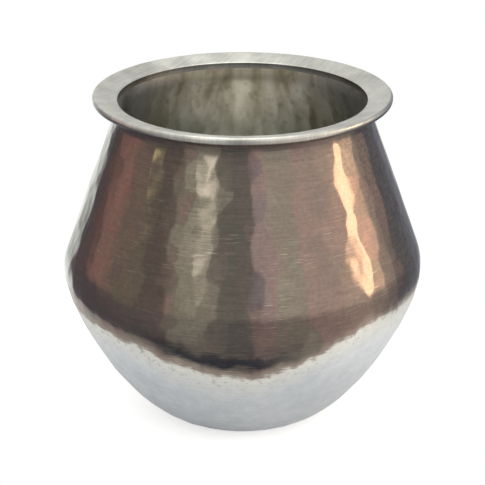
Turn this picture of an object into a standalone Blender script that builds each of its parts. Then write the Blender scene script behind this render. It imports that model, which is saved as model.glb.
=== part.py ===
"""Hand-beaten tin cooking pot: a flat foot, a round bowl, a conical shoulder and a dished rim ring.

The pot stands on its foot at the origin, with +Z up along its axis. All sizes are in metres.
Every wall is the same tin sheet. Each lower piece has an inset lip that nests inside the piece above it,
and a bead of tin solder closes each seam from the inside.
"""

import math

import bmesh
import bpy

for item in list(bpy.data.objects):
    bpy.data.objects.remove(item, do_unlink=True)

# Foot and bowl
FOOT_RADIUS = 0.0270
FOOT_TURN_UP = 0.0080
BELLY_RADIUS = 0.0667
BELLY_HEIGHT = 0.0567
BOWL_FULLNESS_LOW = 0.375
BOWL_FULLNESS_HIGH = 0.263

# Shoulder and neck, with the shoulder's height measured from the belly to the top of the rim
SHOULDER_HEIGHT = 0.0660
BELLY_ROUND = 0.0260
NECK_BEND = 0.0150
MOUTH_RADIUS = 0.0451

# Rim ring, dished so that its outer edge is the highest part of the pot
RIM_WIDTH = 0.0091
RIM_THICKNESS = 0.0022
RIM_DISH = math.radians(12)

# Sheet, seams and solder
WALL = 0.0016
BELLY_LAP = 0.0070
BASE_LAP = 0.0055
JOGGLE = 0.0030
SOLDER_LEG = 0.0025
SIDE_SEAM_WIDTH = 0.0020
SIDE_SEAM_BEARING = math.radians(165)
CLEARANCE = 0.0003

# Fineness of the turned surfaces
TURN_STEPS = 64
BOWL_STEPS = 11
BELLY_STEPS = 4
NECK_STEPS = 4
LAP_STEPS = 3
EDGE_STEPS = 6
FILLET_STEPS = 4
CURVE_STEPS = 400

# Sizes that follow from the ones above
NECK_RADIUS = MOUTH_RADIUS + WALL
RIM_EDGE_ROUND = RIM_THICKNESS / 2
RIM_EDGE_RADIUS = MOUTH_RADIUS + RIM_WIDTH - RIM_EDGE_ROUND
RIM_EDGE_HEIGHT = BELLY_HEIGHT + SHOULDER_HEIGHT - RIM_EDGE_ROUND
LIP_OUTER = WALL + CLEARANCE
LIP_INNER = LIP_OUTER + WALL


def rim_height(radius, side):
    """Height of the rim ring's upper face (side 1) or under face (side -1) at a radius."""
    rise = (radius - RIM_EDGE_RADIUS) * math.tan(RIM_DISH)
    return RIM_EDGE_HEIGHT + rise + side * RIM_EDGE_ROUND / math.cos(RIM_DISH)


# The shoulder's outline is a belly arc, a straight cone and a neck arc, each tangent to the next.
NECK_HEIGHT = rim_height(MOUTH_RADIUS, -1) - CLEARANCE
BELLY_CENTRE = (BELLY_RADIUS - BELLY_ROUND, BELLY_HEIGHT)
NECK_CENTRE = (NECK_RADIUS + NECK_BEND, NECK_HEIGHT)
CENTRES_APART = math.dist(BELLY_CENTRE, NECK_CENTRE)
CENTRES_TILT = math.atan2(NECK_CENTRE[1] - BELLY_CENTRE[1], NECK_CENTRE[0] - BELLY_CENTRE[0])
CONE_LEAN = CENTRES_TILT - math.acos((BELLY_ROUND + NECK_BEND) / CENTRES_APART)
BELLY_RUN = BELLY_ROUND * CONE_LEAN
CONE_RUN = math.sqrt(CENTRES_APART**2 - (BELLY_ROUND + NECK_BEND) ** 2)
NECK_RUN = NECK_BEND * CONE_LEAN
SHOULDER_RUN = BELLY_RUN + CONE_RUN + NECK_RUN


def shoulder_point(run, depth):
    """Point (radius, height) on the shoulder: run along its outer face from the belly, depth under it."""
    if run > BELLY_RUN + CONE_RUN:
        turn = (SHOULDER_RUN - run) / NECK_BEND
        reach = NECK_BEND + depth
        return (NECK_CENTRE[0] - reach * math.cos(turn), NECK_CENTRE[1] - reach * math.sin(turn))
    turn = min(run / BELLY_ROUND, CONE_LEAN)
    reach = BELLY_ROUND - depth
    straight = max(run - BELLY_RUN, 0)
    return (
        BELLY_CENTRE[0] + reach * math.cos(turn) - straight * math.sin(turn),
        BELLY_CENTRE[1] + reach * math.sin(turn) + straight * math.cos(turn),
    )


# The bowl's outline is one cubic curve, level where it leaves the foot and upright at the belly.
BOWL_CURVE = (
    (FOOT_RADIUS, 0.0),
    (FOOT_RADIUS + BOWL_FULLNESS_LOW * (BELLY_RADIUS - FOOT_RADIUS), 0.0),
    (BELLY_RADIUS, BELLY_HEIGHT * (1 - BOWL_FULLNESS_HIGH)),
    (BELLY_RADIUS, BELLY_HEIGHT),
)


def bowl_slope(share):
    """Direction and speed of the bowl's curve at a share of it, from the foot (0) to the belly (1)."""
    start, low, high, end = BOWL_CURVE
    weights = (3 * (1 - share) ** 2, 6 * share * (1 - share), 3 * share**2)
    legs = [(b[0] - a[0], b[1] - a[1]) for a, b in ((start, low), (low, high), (high, end))]
    return tuple(sum(w * leg[axis] for w, leg in zip(weights, legs)) for axis in (0, 1))


BOWL_TOP_SPEED = math.hypot(*bowl_slope(1))


def bowl_point(share, depth):
    """Point (radius, height) on the bowl's curve, depth under the outer face."""
    weights = (
        (1 - share) ** 3,
        3 * share * (1 - share) ** 2,
        3 * share**2 * (1 - share),
        share**3,
    )
    outward, up = bowl_slope(share)
    speed = math.hypot(outward, up)
    radius = sum(w * point[0] for w, point in zip(weights, BOWL_CURVE))
    height = sum(w * point[1] for w, point in zip(weights, BOWL_CURVE))
    return (radius - depth * up / speed, height + depth * outward / speed)


def bowl_share(run):
    """Share of the bowl's curve that lies within a run along it from the foot."""
    share = 0.0
    for _ in range(CURVE_STEPS):
        share += run / CURVE_STEPS / math.hypot(*bowl_slope(share))
    return share


def spread(first, last, steps):
    """Evenly spaced values from first to last, both included."""
    return [first + (last - first) * step / steps for step in range(steps + 1)]


def fillet(wall_end, corner, far_end):
    """Section of a solder bead: two legs that meet in the corner, and a hollow face between their ends."""
    pull = [corner[i] / 2 + (wall_end[i] + far_end[i]) / 4 for i in (0, 1)]
    hollow = []
    for share in spread(0, 1, FILLET_STEPS)[1:-1]:
        near, middle, far = (1 - share) ** 2, 2 * share * (1 - share), share**2
        hollow.append(tuple(near * far_end[i] + middle * pull[i] + far * wall_end[i] for i in (0, 1)))
    return [wall_end, corner, far_end] + hollow


pot = bpy.data.objects.new("tin_pot", None)
bpy.context.scene.collection.objects.link(pot)


def make_material(name, colour, roughness):
    """Bare metal with one colour and one roughness."""
    material = bpy.data.materials.new(name)
    material.use_nodes = True
    shader = material.node_tree.nodes["Principled BSDF"]
    shader.inputs["Base Color"].default_value = (*colour, 1.0)
    shader.inputs["Metallic"].default_value = 1.0
    shader.inputs["Roughness"].default_value = roughness
    return material


def turned(name, section, material, closed=True, start=0.0, sweep=math.tau, steps=TURN_STEPS):
    """Turns a section of (radius, height) points about the pot's axis into one solid piece.

    An open section is closed by flat discs across its two ends. A sweep short of a full turn is closed by
    flat ends. The piece's origin lies on the axis, level with its lowest point.
    """
    seat = min(height for radius, height in section)
    shape = bmesh.new()
    points = [
        shape.verts.new((radius * math.cos(start), radius * math.sin(start), height - seat))
        for radius, height in section
    ]
    pairs = list(zip(points, points[1:]))
    if closed:
        pairs.append((points[-1], points[0]))
    outline = [shape.edges.new(pair) for pair in pairs]
    full = sweep == math.tau
    bmesh.ops.spin(
        shape,
        geom=points + outline,
        cent=(0, 0, 0),
        axis=(0, 0, 1),
        angle=sweep,
        steps=steps,
        use_merge=full,
    )
    if not (closed and full):
        bmesh.ops.holes_fill(shape, edges=[edge for edge in shape.edges if edge.is_boundary], sides=0)
    bmesh.ops.recalc_face_normals(shape, faces=shape.faces)
    mesh = bpy.data.meshes.new(name)
    shape.to_mesh(mesh)
    shape.free()
    mesh.shade_smooth()
    mesh.set_sharp_from_angle(angle=math.radians(35))
    mesh.materials.append(material)
    piece = bpy.data.objects.new(name, mesh)
    piece.location.z = seat
    piece.parent = pot
    bpy.context.scene.collection.objects.link(piece)
    return piece


bright_tin = make_material("bright_beaten_tin", (0.66, 0.66, 0.63), 0.35)
brown_tin = make_material("heat_browned_tin", (0.26, 0.21, 0.18), 0.25)
satin_tin = make_material("satin_tin", (0.60, 0.60, 0.57), 0.40)
grey_solder = make_material("grey_tin_solder", (0.36, 0.36, 0.34), 0.50)

# Base plate: a flat disc with a turned-up edge, and a lip inset by one wall so that it nests in the bowl.
base_edge = bowl_share(FOOT_TURN_UP)
base_bend = bowl_share(FOOT_TURN_UP - JOGGLE)
base_lip_end = bowl_share(FOOT_TURN_UP + BASE_LAP)
base_outer = [bowl_point(share, 0) for share in spread(0, base_edge, LAP_STEPS)]
base_lip = [bowl_point(share, LIP_OUTER) for share in spread(base_edge, base_lip_end, LAP_STEPS)]
base_lip_back = [bowl_point(share, LIP_INNER) for share in spread(base_lip_end, base_edge, LAP_STEPS)]
base_inner = [bowl_point(share, WALL) for share in spread(base_bend, 0, LAP_STEPS)]
turned("base_plate", base_outer + base_lip + base_lip_back + base_inner, bright_tin, closed=False)

# Base solder: a bead on the lip's end, in the corner that it makes with the bowl's inner face.
bead_start = bowl_share(FOOT_TURN_UP + BASE_LAP + CLEARANCE)
bead_end = bowl_share(FOOT_TURN_UP + BASE_LAP + CLEARANCE + SOLDER_LEG)
base_bead = fillet(
    bowl_point(bead_end, LIP_OUTER),
    bowl_point(bead_start, LIP_OUTER),
    bowl_point(bead_start, LIP_INNER),
)
turned("base_solder", base_bead, grey_solder)

# Bowl wall: beaten from a disc, its lower edge outside the base plate's lip, its own lip inside the shoulder.
bowl_edge = bowl_share(FOOT_TURN_UP + CLEARANCE)
bowl_top = 1 - CLEARANCE / BOWL_TOP_SPEED
bowl_bend = 1 - JOGGLE / BOWL_TOP_SPEED
bowl_outer = [bowl_point(share, 0) for share in spread(bowl_edge, bowl_top, BOWL_STEPS)]
bowl_lip = [shoulder_point(run, LIP_OUTER) for run in spread(0, BELLY_LAP, LAP_STEPS)]
bowl_lip_back = [shoulder_point(run, LIP_INNER) for run in spread(BELLY_LAP, 0, LAP_STEPS)]
bowl_inner = [bowl_point(share, WALL) for share in spread(bowl_bend, bowl_edge, BOWL_STEPS)]
bowl_step = [bowl_point(bowl_top, LIP_OUTER)]
turned("bowl_wall", bowl_outer + bowl_step + bowl_lip + bowl_lip_back + bowl_inner, bright_tin)

# Belly solder: a bead on the end of the bowl's lip, against the shoulder's inner face.
belly_bead = fillet(
    shoulder_point(BELLY_LAP + CLEARANCE + SOLDER_LEG, LIP_OUTER),
    shoulder_point(BELLY_LAP + CLEARANCE, LIP_OUTER),
    shoulder_point(BELLY_LAP + CLEARANCE, LIP_INNER),
)
turned("belly_solder", belly_bead, grey_solder)

# Shoulder wall: a sheet rolled to a cone, its two ends an upright slit apart on the pot's left, to the rear.
shoulder_runs = spread(0, BELLY_RUN, BELLY_STEPS) + spread(BELLY_RUN + CONE_RUN, SHOULDER_RUN, NECK_STEPS)
shoulder_outer = [shoulder_point(run, 0) for run in shoulder_runs]
shoulder_inner = [shoulder_point(run, WALL) for run in reversed(shoulder_runs)]
solder_turn = SIDE_SEAM_WIDTH / MOUTH_RADIUS
clearance_turn = CLEARANCE / MOUTH_RADIUS
slit_turn = solder_turn + 2 * clearance_turn
turned(
    "shoulder_wall",
    shoulder_outer + shoulder_inner,
    brown_tin,
    start=SIDE_SEAM_BEARING + slit_turn / 2,
    sweep=math.tau - slit_turn,
)

# Side seam solder: fills the slit, the same section as the wall.
turned(
    "side_seam_solder",
    shoulder_outer + shoulder_inner,
    grey_solder,
    start=SIDE_SEAM_BEARING - solder_turn / 2,
    sweep=solder_turn,
    steps=2,
)

# Rim ring: a broad flat ring with a rounded outer edge and a square-cut mouth, seated on the neck's end.
edge_turns = spread(RIM_DISH - math.pi / 2, RIM_DISH + math.pi / 2, EDGE_STEPS)
rim_edge = [
    (RIM_EDGE_RADIUS + RIM_EDGE_ROUND * math.cos(turn), RIM_EDGE_HEIGHT + RIM_EDGE_ROUND * math.sin(turn))
    for turn in edge_turns
]
rim_mouth = [(MOUTH_RADIUS, rim_height(MOUTH_RADIUS, 1)), (MOUTH_RADIUS, rim_height(MOUTH_RADIUS, -1))]
turned("rim_ring", rim_edge + rim_mouth, satin_tin)

# Neck solder: a fillet in the corner under the ring, all round the outside of the neck.
corner_radius = NECK_RADIUS + CLEARANCE
leg_radius = corner_radius + SOLDER_LEG
neck_bead = fillet(
    shoulder_point(SHOULDER_RUN - SOLDER_LEG, -CLEARANCE),
    (corner_radius, rim_height(corner_radius, -1) - CLEARANCE),
    (leg_radius, rim_height(leg_radius, -1) - CLEARANCE),
)
turned("neck_solder", neck_bead, grey_solder)
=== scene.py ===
import math

import bpy
import numpy as np
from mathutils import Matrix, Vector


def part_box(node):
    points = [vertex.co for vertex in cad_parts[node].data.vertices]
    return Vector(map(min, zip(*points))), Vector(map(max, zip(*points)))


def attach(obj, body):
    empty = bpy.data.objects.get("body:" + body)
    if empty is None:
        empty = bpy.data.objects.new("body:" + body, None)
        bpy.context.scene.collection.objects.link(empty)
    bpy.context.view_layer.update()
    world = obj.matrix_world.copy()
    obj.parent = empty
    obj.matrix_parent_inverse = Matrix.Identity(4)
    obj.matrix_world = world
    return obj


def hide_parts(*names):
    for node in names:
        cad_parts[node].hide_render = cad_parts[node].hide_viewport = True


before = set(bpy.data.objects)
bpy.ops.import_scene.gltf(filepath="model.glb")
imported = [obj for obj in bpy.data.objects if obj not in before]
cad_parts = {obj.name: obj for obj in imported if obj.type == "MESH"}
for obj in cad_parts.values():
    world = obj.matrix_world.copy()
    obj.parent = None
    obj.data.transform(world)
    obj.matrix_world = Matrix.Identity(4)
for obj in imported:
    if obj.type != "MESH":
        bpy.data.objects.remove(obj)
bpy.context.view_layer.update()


# Base plate
# The round bottom that the pot stands on, cut from tin sheet and beaten flat, with its edge turned up.
# Past the edge a lip is set in by one sheet, so that it nests inside the bowl's lower edge.
SHEET = 0.0016
HAIRLINE = 0.00001
SEAM_GAP = 0.0003
LIP_DEPTH = SHEET + SEAM_GAP
FOOT_RADIUS = 0.0270
FOOT_TURN_UP = 0.0080
BASE_LAP = 0.0055
BOWL_FULLNESS_LOW = 0.375
BOWL_FULLNESS_HIGH = 0.263
BELLY_ROUND = 0.0260
NECK_BEND = 0.0150
SEAM_BEARING = math.radians(165)
TURNS = 560
ROW = 0.0009
BOWL_POINTS = 600
ARC_POINTS = 100
EVEN_POINTS = 2000


def reach(node):
    """Smallest and largest distance of a CAD node from the pot's axis."""
    corners = np.array([vertex.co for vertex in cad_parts[node].data.vertices])
    distances = np.hypot(corners[:, 0], corners[:, 1])
    return distances.min(), distances.max()


belly_radius = reach("shoulder_wall")[1]
belly_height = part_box("shoulder_wall")[0].z
neck_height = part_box("shoulder_wall")[1].z
mouth_radius = reach("rim_ring")[0]
neck_radius = mouth_radius + SHEET


def outer_outline():
    """Radii and heights of the pot's outer face, from the middle of the foot to the neck."""
    share = np.linspace(0, 1, BOWL_POINTS)
    swell = belly_radius - FOOT_RADIUS
    low = 3 * share * (1 - share) ** 2
    high = 3 * share**2 * (1 - share)
    bowl_radius = FOOT_RADIUS + swell * (low * BOWL_FULLNESS_LOW + high + share**3)
    bowl_height = belly_height * (high * (1 - BOWL_FULLNESS_HIGH) + share**3)
    across = neck_radius + NECK_BEND - (belly_radius - BELLY_ROUND)
    up = neck_height - belly_height
    lean = math.atan2(up, across) - math.acos((BELLY_ROUND + NECK_BEND) / math.hypot(across, up))
    turn = np.linspace(0, lean, ARC_POINTS)
    belly_arc_radius = belly_radius - BELLY_ROUND + BELLY_ROUND * np.cos(turn)
    belly_arc_height = belly_height + BELLY_ROUND * np.sin(turn)
    neck_arc_radius = neck_radius + NECK_BEND - NECK_BEND * np.cos(turn[::-1])
    neck_arc_height = neck_height - NECK_BEND * np.sin(turn[::-1])
    radius = np.concatenate(([0.0], bowl_radius, belly_arc_radius[1:], neck_arc_radius))
    height = np.concatenate(([0.0], bowl_height, belly_arc_height[1:], neck_arc_height))
    return radius, height


outline_radius, outline_height = outer_outline()
outline_steps = np.hypot(np.diff(outline_radius), np.diff(outline_height))
outline_run = np.concatenate(([0.0], np.cumsum(outline_steps)))
even_run = np.linspace(0, outline_run[-1], EVEN_POINTS)
even_radius = np.interp(even_run, outline_run, outline_radius)
even_height = np.interp(even_run, outline_run, outline_height)
even_across = np.gradient(even_radius, even_run)
even_up = np.gradient(even_height, even_run)
belly_run = even_run[even_radius.argmax()]
neck_run = even_run[-1]
base_run = FOOT_RADIUS + FOOT_TURN_UP


def under_skin(run, depth):
    """Radius and height at a run along the outer face from the foot's middle, and a depth under it."""
    across = np.interp(run, even_run, even_across)
    up = np.interp(run, even_run, even_up)
    size = np.hypot(across, up)
    radius = np.interp(run, even_run, even_radius) - depth * up / size
    return radius, np.interp(run, even_run, even_height) + depth * across / size


# The hammer works in rings of round blows on the bowl, and from just below the belly in upright columns
# of longer planishing blows, with strays among them. Each leaves a shallow flat with its own small tilt.
# A blow sways round by a share of its spacing and drifts along by a length. Flatness round is a multiple
# of the pot's radius there, and flatness along is a radius of curvature. The side seam is flat.
hammer = np.random.default_rng(11)
BLOW_DEPTH = 0.00024
BOWL_BLOW = 0.0062
BOWL_SWAY = 0.14
BOWL_DRIFT = 0.0007
BOWL_TILT = 0.018
BOWL_FLATNESS = (1.2, 1.9)
BOWL_FLATNESS_ALONG = 0.090
PLANISHED_BELOW_BELLY = 0.0180
PLANISHING_COLUMNS = 60
COLUMN_SWAY = 0.14
COLUMN_LEAN = 0.018
PLANISHING_ROW = 0.0100
ROW_SWAY = 0.10
ROW_DRIFT = 0.0018
ROW_TILTS = (0.014, 0.013)
ROW_FLATNESS = (1.15, 1.5)
ROW_FLATNESS_ALONG = 0.250
STRAY_BLOWS = 320
STRAY_TILTS = (0.022, 0.018)
STRAY_FLATNESS = 1.3
STRAY_FLATNESS_ALONG = 0.200


def blow_rings():
    """The hammer blows as rows of bearing, run, flatness round, flatness along and the two tilts."""
    blows = []
    planished = belly_run - PLANISHED_BELOW_BELLY
    for run in np.arange(base_run - BOWL_BLOW, planished - BOWL_BLOW / 2, BOWL_BLOW):
        radius = under_skin(run, 0)[0]
        count = round(math.tau * radius / BOWL_BLOW)
        start = hammer.uniform(0, math.tau)
        for place in range(count):
            bearing = start + (place + hammer.normal(0, BOWL_SWAY)) * math.tau / count
            along = run + hammer.normal(0, BOWL_DRIFT)
            tilts = hammer.normal(0, BOWL_TILT), hammer.normal(0, BOWL_TILT)
            flatness = radius * hammer.uniform(*BOWL_FLATNESS)
            blows.append((bearing, along, flatness, BOWL_FLATNESS_ALONG, *tilts))
    rows = round((neck_run - planished) / PLANISHING_ROW) + 1
    for column in range(PLANISHING_COLUMNS):
        line = column + hammer.normal(0, COLUMN_SWAY)
        lean = hammer.normal(0, COLUMN_LEAN)
        start = hammer.uniform(-0.5, 0.5)
        for row in range(rows):
            run = planished + (neck_run - planished) * (row + start) / (rows - 1)
            radius = under_skin(run, 0)[0]
            bearing = (line + hammer.normal(0, ROW_SWAY)) * math.tau / PLANISHING_COLUMNS
            along = run + hammer.normal(0, ROW_DRIFT)
            tilts = lean + hammer.normal(0, ROW_TILTS[0]), hammer.normal(0, ROW_TILTS[1])
            flatness = radius * hammer.uniform(*ROW_FLATNESS)
            blows.append((bearing, along, flatness, ROW_FLATNESS_ALONG, *tilts))
    for _ in range(STRAY_BLOWS):
        along = hammer.uniform(planished, neck_run)
        flatness = under_skin(along, 0)[0] * STRAY_FLATNESS
        tilts = hammer.normal(0, STRAY_TILTS[0]), hammer.normal(0, STRAY_TILTS[1])
        blows.append((hammer.uniform(0, math.tau), along, flatness, STRAY_FLATNESS_ALONG, *tilts))
    return np.array(blows)


blows = blow_rings()
blow_radius = under_skin(blows[:, 1], 0)[0]
# The upper pot is tinted in upright streaks, painted reflections of the streaked surroundings: 0 is mauve,
# 0.3 red, 0.5 brown, 0.7 olive and 1 beige. Those at the front have a bearing right of the camera, in
# degrees. The others fall as they may, and each blow adds a share of its own.
FRONT_REFLECTION_STREAKS = (
    (-60, 0.5),
    (-50, 0.4),
    (-36, 0.5),
    (-26, 0.45),
    (-13, 0.9),
    (-2, 0.6),
    (8, 0.15),
    (17, 0.7),
    (28, 0.35),
    (41, 0.35),
    (51, 0.5),
)
STREAK_REACH = math.radians(5)
OWN_TINT = 0.2
blow_column = np.rint(blows[:, 0] * PLANISHING_COLUMNS / math.tau).astype(int) % PLANISHING_COLUMNS
streaks = hammer.uniform(0, 1, PLANISHING_COLUMNS)
column_bearing = np.arange(PLANISHING_COLUMNS) * math.tau / PLANISHING_COLUMNS + math.pi / 2
for bearing, tint in FRONT_REFLECTION_STREAKS:
    aside = (column_bearing - math.radians(bearing) + math.pi) % math.tau - math.pi
    streaks[np.abs(aside) < STREAK_REACH] = tint
blow_tint = (1 - OWN_TINT) * streaks[blow_column] + OWN_TINT * hammer.uniform(0, 1, len(blows))

# The marks die out towards the foot and the neck, and beside the seam.
FOOT_FADE = 0.010
NECK_FADE = 0.004
SEAM_FADE = 0.003
POINTS_AT_ONCE = 4000


def beaten(bearing, run):
    """Depth of the hammer marks at points of the outer face, and the tint of the blow that each shows."""
    depth = np.empty_like(run)
    tint = np.empty_like(run)
    for first in range(0, len(run), POINTS_AT_ONCE):
        part = slice(first, first + POINTS_AT_ONCE)
        turn = (bearing[part, None] - blows[:, 0] + math.pi) % math.tau - math.pi
        across = turn * blow_radius
        along = run[part, None] - blows[:, 1]
        rise = across**2 / (2 * blows[:, 2]) + along**2 / (2 * blows[:, 3])
        rise += across * blows[:, 4] + along * blows[:, 5]
        lowest = rise.argmin(axis=1)
        depth[part] = np.maximum(BLOW_DEPTH - rise[np.arange(len(lowest)), lowest], 0)
        tint[part] = blow_tint[lowest]
    fade = np.clip((run - FOOT_RADIUS) / FOOT_FADE, 0, 1) * np.clip((neck_run - run) / NECK_FADE, 0, 1)
    depth *= fade**2 * (3 - 2 * fade)
    aside = np.abs((bearing - SEAM_BEARING + math.pi) % math.tau - math.pi) * mouth_radius
    flat = (run > belly_run) * np.clip(1.5 - aside / SEAM_FADE, 0, 1)
    return depth * (1 - flat) + fade * BLOW_DEPTH / 2 * flat, tint


# The upper pot's brown is a painted dark reflection. Its edge, the tide mark, lies low at the front, where
# that reflection reaches lowest, and climbs towards the sides, in fine and broad waves and a small step at
# each blow.
DARK_EDGE = 0.0535
DARK_EDGE_SLANT = 0.0035
DARK_EDGE_DIP = 0.0140
DARK_EDGE_DIP_BEARING = math.radians(-87)
DARK_EDGE_DIP_LEFT = math.radians(32)
DARK_EDGE_DIP_RIGHT = math.radians(25)
DARK_EDGE_SPAN = 0.0200
DARK_EDGE_FINE_WAVE = 0.0004
DARK_EDGE_FINE_WAVES = 23
DARK_EDGE_BROAD_WAVE = 0.0006
DARK_EDGE_BROAD_WAVES = 9
DARK_EDGE_BLOW_STEP = 0.0008


def painted_reflection_share(bearing, height, tint):
    """How far above the tide mark a point lies: 0.5 on it, 1 a span above it and 0 a span below."""
    aside = (bearing - DARK_EDGE_DIP_BEARING + math.pi) % math.tau - math.pi
    width = np.where(aside < 0, DARK_EDGE_DIP_LEFT, DARK_EDGE_DIP_RIGHT)
    edge = DARK_EDGE + DARK_EDGE_SLANT * np.sin(aside) - DARK_EDGE_DIP * np.exp(-((aside / width) ** 2))
    edge += DARK_EDGE_FINE_WAVE * np.sin(DARK_EDGE_FINE_WAVES * bearing + 1)
    edge -= DARK_EDGE_BROAD_WAVE * np.sin(DARK_EDGE_BROAD_WAVES * bearing)
    edge += DARK_EDGE_BLOW_STEP * (tint - 0.5)
    return np.clip((height - edge) / DARK_EDGE_SPAN / 2 + 0.5, 0, 1)


def tin_sheet(runs, depths, first=SEAM_BEARING, sweep=math.tau, columns=TURNS):
    """A flat grid of tin rolled round the pot's axis from a first bearing, and beaten.

    Each row of the grid lies at its own run along the outer face and its own depth under it.
    """
    bpy.ops.object.select_all(action="DESELECT")
    bpy.ops.mesh.primitive_grid_add(x_subdivisions=columns, y_subdivisions=len(runs) - 1, size=1)
    piece = bpy.context.object
    flat = np.array([vertex.co for vertex in piece.data.vertices])
    row = np.rint((flat[:, 1] + 0.5) * (len(runs) - 1)).astype(int)
    bearing = first + (flat[:, 0] + 0.5) * sweep
    run = np.asarray(runs)[row]
    marks, tint = beaten(bearing, run)
    depth = np.asarray(depths)[row]
    radius, height = under_skin(run, depth + np.where(depth > 0, 0, marks))
    places = np.column_stack((radius * np.cos(bearing), radius * np.sin(bearing), height))
    piece.data.vertices.foreach_set("co", places.ravel())
    # The first attribute is how far each point lies above the tide mark, the edge of the painted dark
    # reflection.
    for key, values in (("painted_dark_and_stain", painted_reflection_share(bearing, height, tint)), ("blow", tint)):
        piece.data.attributes.new(key, "FLOAT", "POINT").data.foreach_set("value", values)
    bpy.ops.object.mode_set(mode="EDIT")
    bpy.ops.mesh.select_all(action="SELECT")
    bpy.ops.mesh.remove_doubles(threshold=1e-6)
    bpy.ops.mesh.normals_make_consistent(inside=False)
    bpy.ops.object.mode_set(mode="OBJECT")
    return piece


def thicken(piece):
    """Gives a tin sheet its thickness on the inside, with the piece's second material there."""
    bpy.ops.object.modifier_add(type="SOLIDIFY")
    solid = piece.modifiers[-1]
    solid.thickness = SHEET
    solid.offset = -1
    solid.use_quality_normals = True
    solid.material_offset = 1
    solid.material_offset_rim = 1
    bpy.ops.object.modifier_apply(modifier=solid.name)
    bpy.ops.object.shade_smooth_by_angle(angle=math.radians(35))


def linear(colour):
    """An sRGB hex colour as linear red, green, blue and alpha."""
    shares = [int(colour[place : place + 2], 16) / 255 for place in (0, 2, 4)]
    return [s / 12.92 if s <= 0.04045 else ((s + 0.055) / 1.055) ** 2.4 for s in shares] + [1.0]


def node(tree, kind, links=(), stops=(), **settings):
    """Adds a node, with its settings, its inputs set or linked, and a ramp's stops of place and colour."""
    made = tree.nodes.new(kind)
    for key, value in settings.items():
        setattr(made, key, value)
    for key, value in dict(links).items():
        if isinstance(value, bpy.types.NodeSocket):
            tree.links.new(value, made.inputs[key])
        else:
            made.inputs[key].default_value = value
    for number, (place, colour) in enumerate(stops):
        ramp = made.color_ramp.elements
        stop = ramp[number] if number < 2 else ramp.new(place)
        stop.position = place
        stop.color = linear(colour)
    return made


def tin_material(name, roughness):
    """A new bare-metal material, its node tree, its shader and the object's own coordinates."""
    material = bpy.data.materials.new(name)
    material.use_nodes = True
    tree = material.node_tree
    shader = tree.nodes["Principled BSDF"]
    shader.inputs["Metallic"].default_value = 1.0
    shader.inputs["Roughness"].default_value = roughness
    return material, tree, shader, node(tree, "ShaderNodeTexCoord").outputs["Object"]


# Beaten tin, burnished level round: pale and satin on the bowl, and above the tide mark a sharper mirror
# whose brown is a painted dark reflection, where level scratches draw each reflection out into an upright
# streak.
BAND_LEFT = 0.008
BAND_FULL = 0.014
BAND_END = 0.032
NECK_SHADE_TOP = neck_height - 0.001
NECK_SHADE_FOOT = neck_height - 0.008
FLANK_FRONT = -0.036
FLANK_BACK = -0.018
FLANK_INNER = 0.030
FLANK_OUTER = 0.042
beaten_tin, tree, shader, place = tin_material("burnished_tin_painted_dark_above", 0.3)
painted_dark_and_stain = node(tree, "ShaderNodeAttribute", attribute_name="painted_dark_and_stain").outputs["Fac"]
blow = node(tree, "ShaderNodeAttribute", attribute_name="blow").outputs["Fac"]
level = node(tree, "ShaderNodeMapping", {"Vector": place, "Scale": (100, 100, 3400)}).outputs["Vector"]
burnish = node(tree, "ShaderNodeTexNoise", {"Vector": level, "Scale": 1.0, "Detail": 4.0}).outputs["Fac"]
cloud = node(tree, "ShaderNodeTexNoise", {"Vector": place, "Scale": 60.0, "Detail": 3.0}).outputs["Fac"]
tone = node(tree, "ShaderNodeMix", {0: 0.7, 2: cloud, 3: blow}).outputs[0]
brown = node(
    tree,
    "ShaderNodeValToRGB",
    {0: tone},
    stops=((0.2, "706768"), (0.8, "8A8278"), (0.35, "82706A"), (0.5, "796E67"), (0.64, "777167")),
).outputs[0]
dents = node(tree, "ShaderNodeTexNoise", {"Vector": place, "Scale": 230.0, "Detail": 3.0}).outputs["Fac"]
mottle = node(tree, "ShaderNodeMix", {0: 0.5, 2: cloud, 3: dents}).outputs[0]
# The pale tin is a little blue, partly its own colour and partly a painted cool reflection.
pale_stops = ((0.35, "CBD1D8"), (0.65, "DBE0E5"))
bright = node(tree, "ShaderNodeValToRGB", {0: mottle}, stops=pale_stops).outputs[0]
# The tide mark is ragged and feathered along the burnishing. A painted blue-black reflection lies just
# above it, a little left of the front, and weakens to both sides. Painted shade darkens the neck under the
# ring.
# Below the mark a painted warm reflection lightens the bright tin, which has brown specks, and a brown-grey
# fringe borders it.
ragged = node(tree, "ShaderNodeTexNoise", {"Vector": place, "Scale": 200.0, "Detail": 6.0}).outputs["Fac"]
ragged = node(tree, "ShaderNodeMix", {0: 0.4, 2: ragged, 3: burnish}).outputs[0]
ragged = node(tree, "ShaderNodeMapRange", {0: ragged, 1: 0.3, 2: 0.7, 3: -0.055, 4: 0.055}).outputs[0]
tide = node(tree, "ShaderNodeMath", {0: painted_dark_and_stain, 1: ragged}, operation="ADD").outputs[0]
fringe = node(
    tree, "ShaderNodeMapRange", {0: tide, 1: 0.43, 2: 0.475}, interpolation_type="SMOOTHSTEP"
).outputs[0]
# The share of brown: the painted dark reflection above the tide mark.
dark_share = node(
    tree, "ShaderNodeMapRange", {0: tide, 1: 0.47, 2: 0.54}, interpolation_type="SMOOTHSTEP"
).outputs[0]
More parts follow.
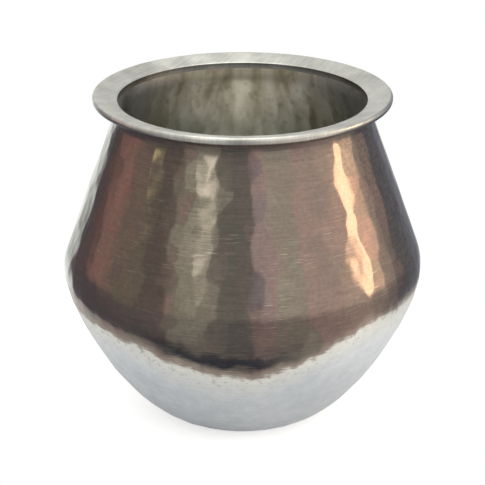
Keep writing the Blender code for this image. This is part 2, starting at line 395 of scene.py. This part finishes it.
# Painted dark reflection: blue-black just above the tide mark, strongest a little left of the front.
painted_dark_band = node(
    tree,
    "ShaderNodeValToRGB",
    {0: tide},
    stops=((0.51, "000000"), (0.86, "000000"), (0.58, "FFFFFF"), (0.65, "F0F0F0"), (0.74, "707070")),
).outputs[0]
parts = node(tree, "ShaderNodeSeparateXYZ", {0: place}).outputs
aside = node(tree, "ShaderNodeMath", {0: parts[0], 1: BAND_LEFT}, operation="ADD").outputs[0]
aside = node(tree, "ShaderNodeMath", {0: aside}, operation="ABSOLUTE").outputs[0]
weaker = node(
    tree, "ShaderNodeMapRange", {0: aside, 1: BAND_FULL, 2: BAND_END, 3: 1.0, 4: 0.15}
).outputs[0]
painted_dark_band = node(tree, "ShaderNodeMath", {0: painted_dark_band, 1: weaker}, operation="MULTIPLY").outputs[0]
# Painted shade on the neck under the ring.
painted_neck_shade = node(tree, "ShaderNodeMapRange", {0: parts[2], 1: NECK_SHADE_FOOT, 2: NECK_SHADE_TOP, 4: 0.7}).outputs[0]
painted_neck_shade = node(tree, "ShaderNodeMath", {0: painted_neck_shade, 1: cloud}, operation="MULTIPLY").outputs[0]
painted_dark_band = node(tree, "ShaderNodeMath", {0: painted_dark_band, 1: painted_neck_shade}, operation="MAXIMUM").outputs[0]
brown = node(tree, "ShaderNodeMix", {0: painted_dark_band, 6: brown, 7: linear("2B2D35")}, data_type="RGBA").outputs[2]
# Painted warm reflection: the bright tin turns lighter and warmer just below the tide mark.
painted_warm_reflection = node(tree, "ShaderNodeMapRange", {0: tide, 1: 0.16, 2: 0.42, 3: 0.0, 4: 0.75}).outputs[0]
bright = node(
    tree, "ShaderNodeMix", {0: painted_warm_reflection, 6: bright, 7: linear("E5E5DE")}, data_type="RGBA"
).outputs[2]
grit = node(tree, "ShaderNodeTexNoise", {"Vector": place, "Scale": 420.0, "Detail": 3.0}).outputs["Fac"]
specks = node(tree, "ShaderNodeMapRange", {0: grit, 1: 0.57, 2: 0.70, 4: 0.55}).outputs[0]
near = node(tree, "ShaderNodeMapRange", {0: tide, 1: 0.20, 2: 0.42}).outputs[0]
specks = node(tree, "ShaderNodeMath", {0: specks, 1: near}, operation="MULTIPLY").outputs[0]
bright = node(
    tree, "ShaderNodeMix", {0: specks, 6: bright, 7: linear("8C8178")}, data_type="RGBA"
).outputs[2]
bright = node(
    tree, "ShaderNodeMix", {0: fringe, 6: bright, 7: linear("988C84")}, data_type="RGBA"
).outputs[2]
colour = node(tree, "ShaderNodeMix", {0: dark_share, 6: bright, 7: brown}, data_type="RGBA").outputs[2]
# Level burnishing lines everywhere, faint on the bright tin.
spread = node(tree, "ShaderNodeMapRange", {0: dark_share, 3: 0.07, 4: 0.15}).outputs[0]
speckle = node(
    tree, "ShaderNodeTexNoise", {"Vector": place, "Scale": 800.0, "Detail": 2.0}
).outputs["Fac"]
lines = node(tree, "ShaderNodeMix", {0: 0.4, 2: burnish, 3: speckle}).outputs[0]
lines = node(tree, "ShaderNodeMapRange", {0: lines, 1: 0.35, 2: 0.65, 3: -1.0, 4: 1.0}).outputs[0]
lines = node(tree, "ShaderNodeMath", {0: lines, 1: spread, 2: 1.0}, operation="MULTIPLY_ADD").outputs[0]
# The brown tin of the right flank is scuffed and sooty, with a fine mottle of dark and rubbed spots.
sideways = node(tree, "ShaderNodeMapRange", {0: parts[1], 1: FLANK_FRONT, 2: FLANK_BACK}).outputs[0]
right = node(tree, "ShaderNodeMapRange", {0: parts[0], 1: FLANK_INNER, 2: FLANK_OUTER}).outputs[0]
flank = node(tree, "ShaderNodeMath", {0: sideways, 1: right}, operation="MULTIPLY").outputs[0]
flank = node(tree, "ShaderNodeMath", {0: flank, 1: dark_share}, operation="MULTIPLY").outputs[0]
scuff = node(tree, "ShaderNodeMix", {0: 0.6, 2: grit, 3: speckle}).outputs[0]
scuff = node(tree, "ShaderNodeMapRange", {0: scuff, 1: 0.40, 2: 0.60, 3: -0.22, 4: 0.22}).outputs[0]
lines = node(tree, "ShaderNodeMath", {0: scuff, 1: flank, 2: lines}, operation="MULTIPLY_ADD").outputs[0]
colour = node(tree, "ShaderNodeVectorMath", {0: colour, 3: lines}, operation="SCALE").outputs[0]
# Short pale scratches lie in patches on the brown tin and dull it.
fine = node(tree, "ShaderNodeMapping", {"Vector": place, "Scale": (170, 170, 2800)}).outputs["Vector"]
cuts = node(tree, "ShaderNodeTexNoise", {"Vector": fine, "Scale": 1.0, "Detail": 1.0}).outputs["Fac"]
cuts = node(tree, "ShaderNodeMapRange", {0: cuts, 1: 0.62, 2: 0.76}).outputs[0]
patch = node(tree, "ShaderNodeTexNoise", {"Vector": place, "Scale": 48.0, "Detail": 1.0}).outputs["Fac"]
patch = node(tree, "ShaderNodeMapRange", {0: patch, 1: 0.50, 2: 0.70, 3: 0.06, 4: 0.5}).outputs[0]
scratch = node(tree, "ShaderNodeMath", {0: cuts, 1: patch}, operation="MULTIPLY").outputs[0]
scratch = node(tree, "ShaderNodeMath", {0: scratch, 1: dark_share}, operation="MULTIPLY").outputs[0]
colour = node(
    tree, "ShaderNodeMix", {0: scratch, 6: colour, 7: linear("BCB6AE")}, data_type="RGBA"
).outputs[2]
rough = node(tree, "ShaderNodeMapRange", {0: dark_share, 3: 0.35, 4: 0.16}).outputs[0]
grain = node(tree, "ShaderNodeMapRange", {0: burnish, 1: 0.3, 2: 0.7, 3: -0.04, 4: 0.04}).outputs[0]
rough = node(tree, "ShaderNodeMath", {0: rough, 1: grain}, operation="ADD").outputs[0]
rough = node(
    tree, "ShaderNodeMath", {0: scratch, 1: 0.15, 2: rough}, operation="MULTIPLY_ADD"
).outputs[0]
# A soft ripple of about 4 mm, smaller than the hammer marks, and the burnishing lines stir the reflections.
ripple = node(tree, "ShaderNodeTexNoise", {"Vector": place, "Scale": 230.0, "Detail": 0.0}).outputs["Fac"]
dimples = node(
    tree, "ShaderNodeBump", {"Height": ripple, "Strength": 0.4, "Distance": 0.00022}
).outputs[0]
bump = node(
    tree, "ShaderNodeBump", {"Height": burnish, "Strength": 0.15, "Distance": 0.00003, "Normal": dimples}
)
round_pot = node(tree, "ShaderNodeTangent", direction_type="RADIAL", axis="Z")
shader.inputs["Anisotropic"].default_value = 0.5
shader.inputs["Anisotropic Rotation"].default_value = 0.25
for socket, source in (
    ("Base Color", colour),
    ("Roughness", rough),
    ("Normal", bump.outputs[0]),
    ("Tangent", round_pot.outputs[0]),
):
    tree.links.new(source, shader.inputs[socket])

# Dull inner tin, hammered through from the outside and scoured by use: a soft cool grey at the sides and
# front, upright olive and tan streaks at the back, darker lower down, and dark spots where food caught.
DARKENING_TOP = 0.108
DARKENING_FOOT = 0.092
STREAKS_FRONT = 0.024
STREAKS_BACK = 0.040
inner_tin, tree, shader, place = tin_material("scoured_inner_tin", 0.36)
blow = node(tree, "ShaderNodeAttribute", attribute_name="blow").outputs["Fac"]
upright = node(tree, "ShaderNodeMapping", {"Vector": place, "Scale": (150, 150, 24)}).outputs["Vector"]
cloud = node(tree, "ShaderNodeTexNoise", {"Vector": upright, "Scale": 1.0, "Detail": 5.0}).outputs["Fac"]
tone = node(tree, "ShaderNodeMix", {0: 0.2, 2: cloud, 3: blow}).outputs[0]
colour = node(
    tree,
    "ShaderNodeValToRGB",
    {0: tone},
    stops=((0.34, "B0A68D"), (0.64, "FCF5E0"), (0.44, "D6CBB0"), (0.53, "EEE5CD")),
).outputs[0]
parts = node(tree, "ShaderNodeSeparateXYZ", {0: place}).outputs
# The inside turns darker lower down.
deep = node(tree, "ShaderNodeMapRange", {0: parts[2], 1: DARKENING_TOP, 2: DARKENING_FOOT, 4: 0.75}).outputs[0]
colour = node(
    tree, "ShaderNodeMix", {0: deep, 6: colour, 7: linear("9A9D8B")}, data_type="RGBA"
).outputs[2]
back = node(tree, "ShaderNodeMapRange", {0: parts[1], 1: STREAKS_FRONT, 2: STREAKS_BACK}).outputs[0]
colour = node(
    tree, "ShaderNodeMix", {0: back, 6: linear("E7E9EE"), 7: colour}, data_type="RGBA"
).outputs[2]
spots = node(tree, "ShaderNodeTexNoise", {"Vector": place, "Scale": 260.0, "Detail": 3.0}).outputs["Fac"]
spots = node(tree, "ShaderNodeMapRange", {0: spots, 1: 0.52, 2: 0.74, 3: 0.0, 4: 0.4}).outputs[0]
colour = node(
    tree, "ShaderNodeMix", {0: spots, 6: colour, 7: linear("736B5C")}, data_type="RGBA"
).outputs[2]
rough = node(tree, "ShaderNodeMapRange", {0: cloud, 1: 0.3, 2: 0.7, 3: 0.40, 4: 0.28}).outputs[0]
round_pot = node(tree, "ShaderNodeTangent", direction_type="RADIAL", axis="Z").outputs[0]
shader.inputs["Anisotropic"].default_value = 0.35
shader.inputs["Anisotropic Rotation"].default_value = 0.25
tree.links.new(colour, shader.inputs["Base Color"])
tree.links.new(rough, shader.inputs["Roughness"])
tree.links.new(round_pot, shader.inputs["Tangent"])


def dress(piece, name, slot, materials, *nodes):
    """Names a finished piece, gives it its materials and its body, and hides the CAD nodes that it stands
    for.
    """
    piece.name = piece.data.name = name
    for material in materials:
        piece.data.materials.append(material)
    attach(piece, "root")
    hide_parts(*nodes)


def rows_between(first, last):
    """Evenly spaced grid rows about a millimetre apart."""
    return np.linspace(first, last, round((last - first) / ROW) + 1)


base_outer = rows_between(0, base_run)
base_lip = rows_between(base_run + HAIRLINE, base_run + BASE_LAP)
base_plate = tin_sheet(
    np.concatenate((base_outer, base_lip)),
    np.concatenate((0 * base_outer, 0 * base_lip + LIP_DEPTH)),
)
dress(base_plate, "beaten_base_plate", "bright_tin", (beaten_tin, inner_tin), "base_plate")
thicken(base_plate)


# Base solder
# A bead of tin solder run into the corner between the base plate's lip and the bowl, inside the pot.
# It was drawn round by hand with an iron, so that it swells and thins as it goes.
SOLDER_LEG = 0.0025
BEAD_POINTS = 8
BEAD_FILL = 0.92
BEAD_SWELL = 0.25
LIP_FILL = 0.85
LIP_SWELL = 0.3
LUMP_WAVES = 8
LUMP_STEP = 7
RING_TURNS = 256
ring_bearings = SEAM_BEARING + np.arange(RING_TURNS) * math.tau / RING_TURNS
lump_phases = hammer.uniform(0, math.tau, LUMP_WAVES)


def lumps(bearing, first):
    """Uneven swelling along a hand-drawn bead, between -1 and 1; first picks another run of it."""
    waves = [
        math.sin((first + LUMP_STEP * step) * bearing + phase) for step, phase in enumerate(lump_phases)
    ]
    return sum(waves) / len(waves)


def ring_from(sections):
    """A torus whose small circle is drawn out, at each bearing, to a section of radii and heights."""
    points = len(sections[0])
    bpy.ops.object.select_all(action="DESELECT")
    bpy.ops.mesh.primitive_torus_add(
        major_segments=RING_TURNS, minor_segments=points, major_radius=mouth_radius, minor_radius=SHEET
    )
    piece = bpy.context.object
    radius, height = np.concatenate(sections).T
    bearing = np.repeat(ring_bearings, points)
    places = np.column_stack((radius * np.cos(bearing), radius * np.sin(bearing), height))
    piece.data.vertices.foreach_set("co", places.ravel())
    bpy.ops.object.mode_set(mode="EDIT")
    bpy.ops.mesh.select_all(action="SELECT")
    bpy.ops.mesh.normals_make_consistent(inside=False)
    bpy.ops.object.mode_set(mode="OBJECT")
    bpy.ops.object.shade_smooth_by_angle(angle=math.radians(40))
    return piece


def bead_face(from_end, corner, to_end):
    """The face of a bead from one leg's end to the other's, sagging towards the corner between them."""
    share = np.linspace(0, 1, BEAD_POINTS)[:, None]
    sag = np.add(from_end, to_end) / 4 + np.asarray(corner) / 2
    return (1 - share) ** 2 * from_end + 2 * share * (1 - share) * sag + share**2 * np.asarray(to_end)


def inner_bead(lip_end, bearing):
    """Section of a bead on the end of a lip, in the corner that it makes with the wall outside it."""
    leg = SOLDER_LEG * (BEAD_FILL + BEAD_SWELL * lumps(bearing, 9))
    cover = SHEET * (LIP_FILL + LIP_SWELL * lumps(bearing, 14))
    corner = under_skin(lip_end + SEAM_GAP / 3, LIP_DEPTH)
    on_lip = under_skin(lip_end + SEAM_GAP / 3, LIP_DEPTH + cover)
    on_wall = under_skin(lip_end + leg, LIP_DEPTH - SEAM_GAP / 2)
    return np.vstack((corner, bead_face(on_lip, corner, on_wall)))


# Tin solder, cooled dull: soft grey with a frosty grain, painted brown outside as shade and dark
# reflection.
tin_solder, tree, shader, place = tin_material("dull_tin_solder", 0.46)
painted_dark_and_stain = node(tree, "ShaderNodeAttribute", attribute_name="painted_dark_and_stain").outputs["Fac"]
frost = node(tree, "ShaderNodeTexNoise", {"Vector": place, "Scale": 900.0, "Detail": 4.0}).outputs["Fac"]
grey = node(tree, "ShaderNodeValToRGB", {0: frost}, stops=((0.3, "A9A8A0"), (0.7, "C4C3BA"))).outputs[0]
brown = node(tree, "ShaderNodeValToRGB", {0: frost}, stops=((0.3, "574E4A"), (0.7, "6E635C"))).outputs[0]
dark_share = node(tree, "ShaderNodeMapRange", {0: painted_dark_and_stain, 1: 0.1, 2: 0.55}).outputs[0]
colour = node(tree, "ShaderNodeMix", {0: dark_share, 6: grey, 7: brown}, data_type="RGBA").outputs[2]
bump = node(tree, "ShaderNodeBump", {"Height": frost, "Strength": 0.3, "Distance": 0.00005})
tree.links.new(colour, shader.inputs["Base Color"])
tree.links.new(bump.outputs[0], shader.inputs["Normal"])

base_solder = ring_from([inner_bead(base_run + BASE_LAP, bearing) for bearing in ring_bearings])
dress(base_solder, "base_solder_bead", "tin_solder", (tin_solder,), "base_solder")


# Bowl wall
# The round lower half, beaten up from a disc of tin. Its lower edge laps over the base plate's lip, and
# its own lip is set in at the belly and nests inside the shoulder.
BELLY_LAP = 0.0070
bowl_outer = rows_between(base_run + HAIRLINE, belly_run)
bowl_lip = rows_between(belly_run + HAIRLINE, belly_run + BELLY_LAP)
bowl_wall = tin_sheet(
    np.concatenate((bowl_outer, bowl_lip)),
    np.concatenate((0 * bowl_outer, 0 * bowl_lip + LIP_DEPTH)),
)
dress(bowl_wall, "beaten_bowl_wall", "bright_tin", (beaten_tin, inner_tin), "bowl_wall")
thicken(bowl_wall)


# Belly solder
# The same kind of bead on the end of the bowl's lip, against the inside of the shoulder. It closes the
# joint between the pot's two halves from the inside.
belly_solder = ring_from([inner_bead(belly_run + BELLY_LAP, bearing + 1) for bearing in ring_bearings])
dress(belly_solder, "belly_solder_bead", "tin_solder", (tin_solder,), "belly_solder")


# Shoulder wall
# A sheet rolled to a cone and planished over a stake in upright strokes, then burnished level round.
# Its two ends stand a slit apart on the left, to the rear, which the side seam's solder fills.
SIDE_SEAM_WIDTH = 0.0020
slit_turn = SIDE_SEAM_WIDTH / mouth_radius
shoulder_rows = rows_between(belly_run + HAIRLINE, neck_run)
shoulder_wall = tin_sheet(
    shoulder_rows, 0 * shoulder_rows, SEAM_BEARING + slit_turn / 2, math.tau - slit_turn
)
dress(shoulder_wall, "beaten_shoulder_wall", "browned_tin", (beaten_tin, inner_tin), "shoulder_wall")
thicken(shoulder_wall)


# Side seam solder
# Solder run down the slit between the shoulder's two ends and planished flush with the wall. Its outside is
# painted brown with the shoulder, the same painted dark reflection, and its inside is scoured like the
# walls.
SIDE_SEAM_COLUMNS = 6
side_seam = tin_sheet(
    shoulder_rows,
    0 * shoulder_rows,
    SEAM_BEARING - slit_turn / 2,
    slit_turn,
    columns=SIDE_SEAM_COLUMNS,
)
dress(side_seam, "side_seam_solder_strip", "tin_solder", (tin_solder, inner_tin), "side_seam_solder")
thicken(side_seam)


# Rim ring
# A broad flat ring of thicker tin, turned with a rounded outer edge and dished a little towards the mouth.
# It sits on the neck's end and was brushed smooth round and round.
RIM_THICKNESS = 0.0022
RIM_DISH = math.radians(12)
RIM_SOFT = 0.00015
RIM_WOBBLE = 0.00012
RIM_DROOP = 0.4
RIM_WEAR = math.radians(2.5)
EDGE_POINTS = 14
UPPER_POINTS = 9
SOFT_POINTS = 5
BORE_POINTS = 8
UNDER_POINTS = 7
rim_edge_radius = reach("rim_ring")[1] - RIM_THICKNESS / 2
rim_edge_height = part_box("rim_ring")[1].z - RIM_THICKNESS / 2


def rim_height(radius, side):
    """Height of the ring's upper face (side 1) or under face (side -1) at a radius."""
    slope = RIM_DISH + RIM_WEAR if side > 0 else RIM_DISH
    rise = (radius - rim_edge_radius) * math.tan(slope)
    return rim_edge_height + rise + side * RIM_THICKNESS / 2 / math.cos(RIM_DISH)


def rim_section(bearing):
    """The ring's section: rounded edge, upper face, softened mouth, bore and under face."""
    worn = RIM_WOBBLE * (1 + lumps(bearing, 3)) / 2
    turn = np.linspace(RIM_DISH - math.pi / 2, RIM_DISH + math.pi / 2, EDGE_POINTS)
    edge = np.column_stack((np.cos(turn), np.sin(turn))) * RIM_THICKNESS / 2
    edge[:, 1] += RIM_DROOP * np.minimum(edge[:, 1], 0)
    edge += (rim_edge_radius - worn, rim_edge_height - worn)
    shoulder = mouth_radius + RIM_SOFT
    upper = np.linspace(edge[-1], (shoulder, rim_height(shoulder, 1)), UPPER_POINTS)
    turn = np.linspace(math.pi / 2, math.pi, SOFT_POINTS)[1:]
    soft = RIM_SOFT * np.column_stack((np.cos(turn), np.sin(turn)))
    soft += (shoulder, rim_height(mouth_radius, 1) - RIM_SOFT)
    bore = np.linspace(soft[-1], (mouth_radius, rim_height(mouth_radius, -1)), BORE_POINTS)
    under = np.linspace(bore[-1], edge[0], UNDER_POINTS)
    return np.concatenate((edge, upper[1:], soft, bore[1:], under[1:-1]))


rim_ring = ring_from([rim_section(bearing) for bearing in ring_bearings])
# The ring's underside and the lower part of its edge are painted dark brown, partly smoke stain and partly
# painted shade and dark reflection, and left bright at the front, where the edge catches its highlight. The
# bore is darkened too, partly food stain and partly painted dark reflection. The line and fade of this
# darkening are counted in points of the section.
STAIN_AND_SHADE_POINTS = 7.5
STAIN_AND_SHADE_FADE = 3
FRONT_CLEAR_POINTS = 6.0
FRONT_CLEAR_REACH = math.radians(35)
CLEAN_SOFT_POINTS = 2
BORE_STAIN_AND_SHADE_ENDS = (0.9, 0.3)
from_front = (ring_bearings + math.pi / 2 + math.pi) % math.tau - math.pi
stain_and_shade_end = STAIN_AND_SHADE_POINTS - FRONT_CLEAR_POINTS * np.exp(-((from_front / FRONT_CLEAR_REACH) ** 2))
edge_stain_and_shade = np.clip((stain_and_shade_end[:, None] - np.arange(EDGE_POINTS)) / STAIN_AND_SHADE_FADE, 0, 1)
clean_points = UPPER_POINTS - 1 + CLEAN_SOFT_POINTS
bore_points = SOFT_POINTS - 1 - CLEAN_SOFT_POINTS + BORE_POINTS - 1
bore_stain_and_shade = np.linspace(*BORE_STAIN_AND_SHADE_ENDS, bore_points)
other_stain_and_shade = np.concatenate((np.zeros(clean_points), bore_stain_and_shade, np.ones(UNDER_POINTS - 2)))
rim_stain_and_shade = np.column_stack((edge_stain_and_shade, np.tile(other_stain_and_shade, (RING_TURNS, 1))))
stain_and_shade_layer = rim_ring.data.attributes.new("painted_dark_and_stain", "FLOAT", "POINT")
stain_and_shade_layer.data.foreach_set("value", rim_stain_and_shade.ravel())

# Satin tin, brushed round and across: a pale grey with fine lines and softly drawn-out highlights, and a
# dark brown that is partly smoke and food stain and partly painted shade and dark reflection.
satin_tin, tree, shader, place = tin_material("brushed_satin_tin", 0.36)
flat = node(tree, "ShaderNodeMapping", {"Vector": place, "Scale": (1, 1, 0)}).outputs["Vector"]
ring = node(tree, "ShaderNodeVectorMath", {0: flat}, operation="LENGTH").outputs["Value"]
ring = node(tree, "ShaderNodeMath", {0: ring, 1: 2400.0}, operation="MULTIPLY").outputs[0]
lines = node(
    tree, "ShaderNodeTexNoise", {"W": ring, "Scale": 1.0, "Detail": 3.0}, noise_dimensions="1D"
).outputs["Fac"]
cloud = node(tree, "ShaderNodeTexNoise", {"Vector": place, "Scale": 120.0, "Detail": 4.0}).outputs["Fac"]
slant = node(
    tree,
    "ShaderNodeMapping",
    {"Vector": place, "Rotation": (0, 0, 1.06), "Scale": (0.014, 0.0005, 0.014)},
    vector_type="TEXTURE",
).outputs["Vector"]
strokes = node(tree, "ShaderNodeTexNoise", {"Vector": slant, "Scale": 1.0, "Detail": 3.0}).outputs["Fac"]
lines = node(tree, "ShaderNodeMix", {0: 0.6, 2: lines, 3: strokes}).outputs[0]
tone = node(tree, "ShaderNodeMix", {0: 0.55, 2: cloud, 3: lines}).outputs[0]
satin_stops = ((0.36, "ACACA6"), (0.64, "D8D8D2"))
colour = node(tree, "ShaderNodeValToRGB", {0: tone}, stops=satin_stops).outputs[0]
painted_dark_and_stain = node(tree, "ShaderNodeAttribute", attribute_name="painted_dark_and_stain").outputs["Fac"]
colour = node(
    tree, "ShaderNodeMix", {0: painted_dark_and_stain, 6: colour, 7: linear("595550")}, data_type="RGBA"
).outputs[2]
rough = node(tree, "ShaderNodeMapRange", {0: tone, 1: 0.3, 2: 0.7, 3: 0.30, 4: 0.44}).outputs[0]
bump = node(tree, "ShaderNodeBump", {"Height": tone, "Strength": 0.25, "Distance": 0.00004})
round_pot = node(tree, "ShaderNodeTangent", direction_type="RADIAL", axis="Z")
shader.inputs["Anisotropic"].default_value = 0.5
shader.inputs["Anisotropic Rotation"].default_value = 0.25
for socket, source in (
    ("Base Color", colour),
    ("Roughness", rough),
    ("Normal", bump.outputs[0]),
    ("Tangent", round_pot.outputs[0]),
):
    tree.links.new(source, shader.inputs[socket])
dress(rim_ring, "satin_rim_ring", "satin_tin", (satin_tin,), "rim_ring")


# Neck solder
# Solder that ran through the joint between the neck's end and the ring, and filled the corner under the
# ring outside the neck. Its outside is painted dark brown, as painted shade under the ring and as the
# shoulder's painted dark reflection.
NECK_FILL = 0.65
NECK_SWELL = 0.12
OUTER_PAINTED_SHADE = 1.0
INNER_STAIN = 0.2


def neck_bead(bearing):
    """Section of the joint's thin film of solder and of the bead in the corner outside it."""
    leg = SOLDER_LEG * (NECK_FILL + NECK_SWELL * lumps(bearing, 11))
    film_top = (mouth_radius, rim_height(mouth_radius, -1))
    film_foot = (mouth_radius, neck_height)
    corner = np.array((neck_radius, neck_height))
    on_neck = under_skin(neck_run - leg, 0)
    on_ring = (corner[0] + leg, rim_height(corner[0] + leg, -1))
    return np.vstack((film_top, film_foot, corner, bead_face(on_neck, corner, on_ring)))


neck_solder = ring_from([neck_bead(bearing) for bearing in ring_bearings])
neck_places = np.array([vertex.co for vertex in neck_solder.data.vertices])
outside = np.hypot(neck_places[:, 0], neck_places[:, 1]) > neck_radius - SHEET / 2
# Outside the neck the solder is painted dark, a painted shade under the ring.
stain_and_shade_layer = neck_solder.data.attributes.new("painted_dark_and_stain", "FLOAT", "POINT")
stain_and_shade_layer.data.foreach_set("value", np.where(outside, OUTER_PAINTED_SHADE, INNER_STAIN))
dress(neck_solder, "neck_solder_bead", "tin_solder", (tin_solder,), "neck_solder")


# Floor
# A round pale table top, which takes the pot's shadow. To the camera it fades to the white of the
# background, so that its edge isn't seen.
TABLE_RADIUS = 0.125
TABLE_CENTRE = (0.0, 0.035, 0.0)
TABLE_SIDES = 128
FADE_FROM = 0.6 * TABLE_RADIUS
FADE_TO = 0.95 * TABLE_RADIUS
bpy.ops.object.select_all(action="DESELECT")
bpy.ops.mesh.primitive_circle_add(vertices=TABLE_SIDES, radius=TABLE_RADIUS, fill_type="NGON")
floor = bpy.context.object
floor.name = "floor"
bpy.ops.transform.translate(value=TABLE_CENTRE)
bpy.ops.object.transform_apply(location=True, rotation=True, scale=True)
pale = bpy.data.materials.new("pale_table")
pale.use_nodes = True
tree = pale.node_tree
shader = tree.nodes["Principled BSDF"]
shader.inputs["Base Color"].default_value = linear("E8E8E8")
shader.inputs["Roughness"].default_value = 0.9
shader.inputs["Emission Color"].default_value = (1, 1, 1, 1)
place = node(tree, "ShaderNodeTexCoord").outputs["Object"]
off = node(
    tree, "ShaderNodeVectorMath", {0: place, 1: TABLE_CENTRE}, operation="DISTANCE"
).outputs["Value"]
edge = node(tree, "ShaderNodeMapRange", {0: off, 1: FADE_FROM, 2: FADE_TO}).outputs[0]
seen = node(tree, "ShaderNodeLightPath").outputs["Is Camera Ray"]
lift = node(tree, "ShaderNodeMapRange", {0: seen, 3: 0.06, 4: 0.55}).outputs[0]
tree.links.new(lift, shader.inputs["Emission Strength"])
fade = node(tree, "ShaderNodeMath", {0: edge, 1: seen}, operation="MULTIPLY").outputs[0]
white = node(tree, "ShaderNodeEmission", {"Color": (1, 1, 1, 1), "Strength": 1.0})
shown = node(tree, "ShaderNodeMixShader", {0: fade, 1: shader.outputs[0], 2: white.outputs[0]})
tree.links.new(shown.outputs[0], tree.nodes["Material Output"].inputs["Surface"])
floor.data.materials.append(pale)


# Studio light
# A surround of grey and warm cards, which the tin mirrors, and five soft boxes. The camera itself sees a
# plain white background.
CARD_GLOW = 2.0
POT_MIDDLE = 0.06
LAMP_DISTANCE = 1.2
world = bpy.data.worlds.new("studio")
bpy.context.scene.world = world
world.use_nodes = True
tree = world.node_tree
look = node(tree, "ShaderNodeTexCoord").outputs["Generated"]
turned = node(
    tree, "ShaderNodeMapping", {"Vector": look, "Rotation": (0, 0, math.pi / 2)}, vector_type="POINT"
).outputs["Vector"]
around = node(tree, "ShaderNodeTexGradient", {"Vector": turned}, gradient_type="RADIAL").outputs["Fac"]


def card_stops(cards):
    """Ramp stops for cards that reach from one bearing to another and fade evenly into each other."""
    edges = [((bearing + 180) / 360, tone) for first, last, tone in cards for bearing in (first, last)]
    return edges[:1] + edges[-1:] + edges[1:-1]


# The cards above the horizon, by bearings right of the camera in degrees: grey behind the pot, then from
# the left rear dark, dull rose, grey, pale, dim behind the camera, bright and warm, and dark again.
upper_cards = (
    (-180, -150, "B0B0AE"),
    (-139, -130, "5E5C60"),
    (-122, -118, "7D6C6A"),
    (-109, -100, "B09690"),
    (-90, -75, "929086"),
    (-66, -57, "807E7A"),
    (-48, -23, "B2B0A8"),
    (-13, 4, "929392"),
    (14, 62, "DAD4CE"),
    (70, 97, "EFE3D5"),
    (114, 117, "A6A19D"),
    (129, 158, "6E7278"),
    (168, 180, "ACACAA"),
)
# Below the horizon they are fewer and mostly dimmer, with a white one behind the pot on the left. High up
# they give way to a plain grey.
lower_cards = (
    (-180, -145, "E0E6E4"),
    (-140, -120, "66646A"),
    (-66, -56, "7E7E82"),
    (-46, -24, "9A9894"),
    (-12, 4, "808084"),
    (14, 44, "A29C99"),
    (76, 90, "CAC2BA"),
    (120, 162, "6E7278"),
    (170, 180, "A0A0A0"),
)
upper = node(tree, "ShaderNodeValToRGB", {0: around}, stops=card_stops(upper_cards)).outputs[0]
lower = node(tree, "ShaderNodeValToRGB", {0: around}, stops=card_stops(lower_cards)).outputs[0]
height = node(tree, "ShaderNodeSeparateXYZ", {0: look}).outputs[2]
above = node(tree, "ShaderNodeMapRange", {0: height, 1: 0.4, 2: 0.8}).outputs[0]
low = node(tree, "ShaderNodeMapRange", {0: height, 1: -0.02, 2: -0.10}).outputs[0]
cards = node(tree, "ShaderNodeMix", {0: low, 6: upper, 7: lower}, data_type="RGBA").outputs[2]
sky = node(tree, "ShaderNodeMix", {0: above, 6: cards, 7: linear("C0C0BE")}, data_type="RGBA").outputs[2]
surround = node(tree, "ShaderNodeBackground", {"Color": sky, "Strength": CARD_GLOW})
white = node(tree, "ShaderNodeBackground", {"Color": (1, 1, 1, 1), "Strength": 1.0})
seen = node(tree, "ShaderNodeLightPath").outputs["Is Camera Ray"]
shown = node(tree, "ShaderNodeMixShader", {0: seen, 1: surround.outputs[0], 2: white.outputs[0]})
tree.links.new(shown.outputs[0], tree.nodes["World Output"].inputs["Surface"])


def soft_box(name, bearing, height, width, tall, glow, colour, distance=LAMP_DISTANCE):
    """A soft box turned to the pot, at a bearing right of the camera in degrees."""
    aside = math.radians(bearing)
    data = bpy.data.lights.new(name, "AREA")
    data.shape = "ELLIPSE"
    data.size, data.size_y = width, tall
    data.energy = glow * math.pi * width * tall
    data.color = linear(colour)[:3]
    lamp = bpy.data.objects.new(name, data)
    bpy.context.scene.collection.objects.link(lamp)
    lamp.location = (distance * math.sin(aside), -distance * math.cos(aside), height)
    lamp.rotation_euler = (math.radians(90) - math.atan2(height - POT_MIDDLE, distance), 0, aside)


soft_box("warm_window", bearing=84, height=0.26, width=0.24, tall=0.40, glow=4.3, colour="FFE0B4")
soft_box("warm_pane", bearing=94, height=0.26, width=0.17, tall=0.44, glow=0.9, colour="FFCDA0")
soft_box(
    "overhead", bearing=0, height=1.0, width=0.75, tall=0.75, glow=1.45, colour="FFFCF2", distance=0.001
)
soft_box("front_panel", bearing=-28, height=0.66, width=0.33, tall=0.38, glow=1.65, colour="FFFCF4")
soft_box("kicker", bearing=-73, height=0.455, width=0.09, tall=0.11, glow=2.8, colour="F8EFB8")


# Camera
# It looks down on the pot from the front, at the height and distance that the rim's ellipse gives.
# The sensor's width and the lens are in millimetres.
CAMERA_PLACE = (0, -0.5545, 0.2891)
CAMERA_DOWN = math.radians(22.11)
SENSOR_WIDTH = 36.0
LENS = 118.76
NEAREST = 0.05
camera_data = bpy.data.cameras.new("camera")
camera = bpy.data.objects.new("camera", camera_data)
bpy.context.scene.collection.objects.link(camera)
bpy.context.scene.camera = camera
camera_data.sensor_width = SENSOR_WIDTH
camera_data.lens = LENS
camera_data.clip_start = NEAREST
camera.location = CAMERA_PLACE
camera.rotation_euler = (math.pi / 2 - CAMERA_DOWN, 0, 0)

bpy.context.scene.view_settings.view_transform = "Standard"
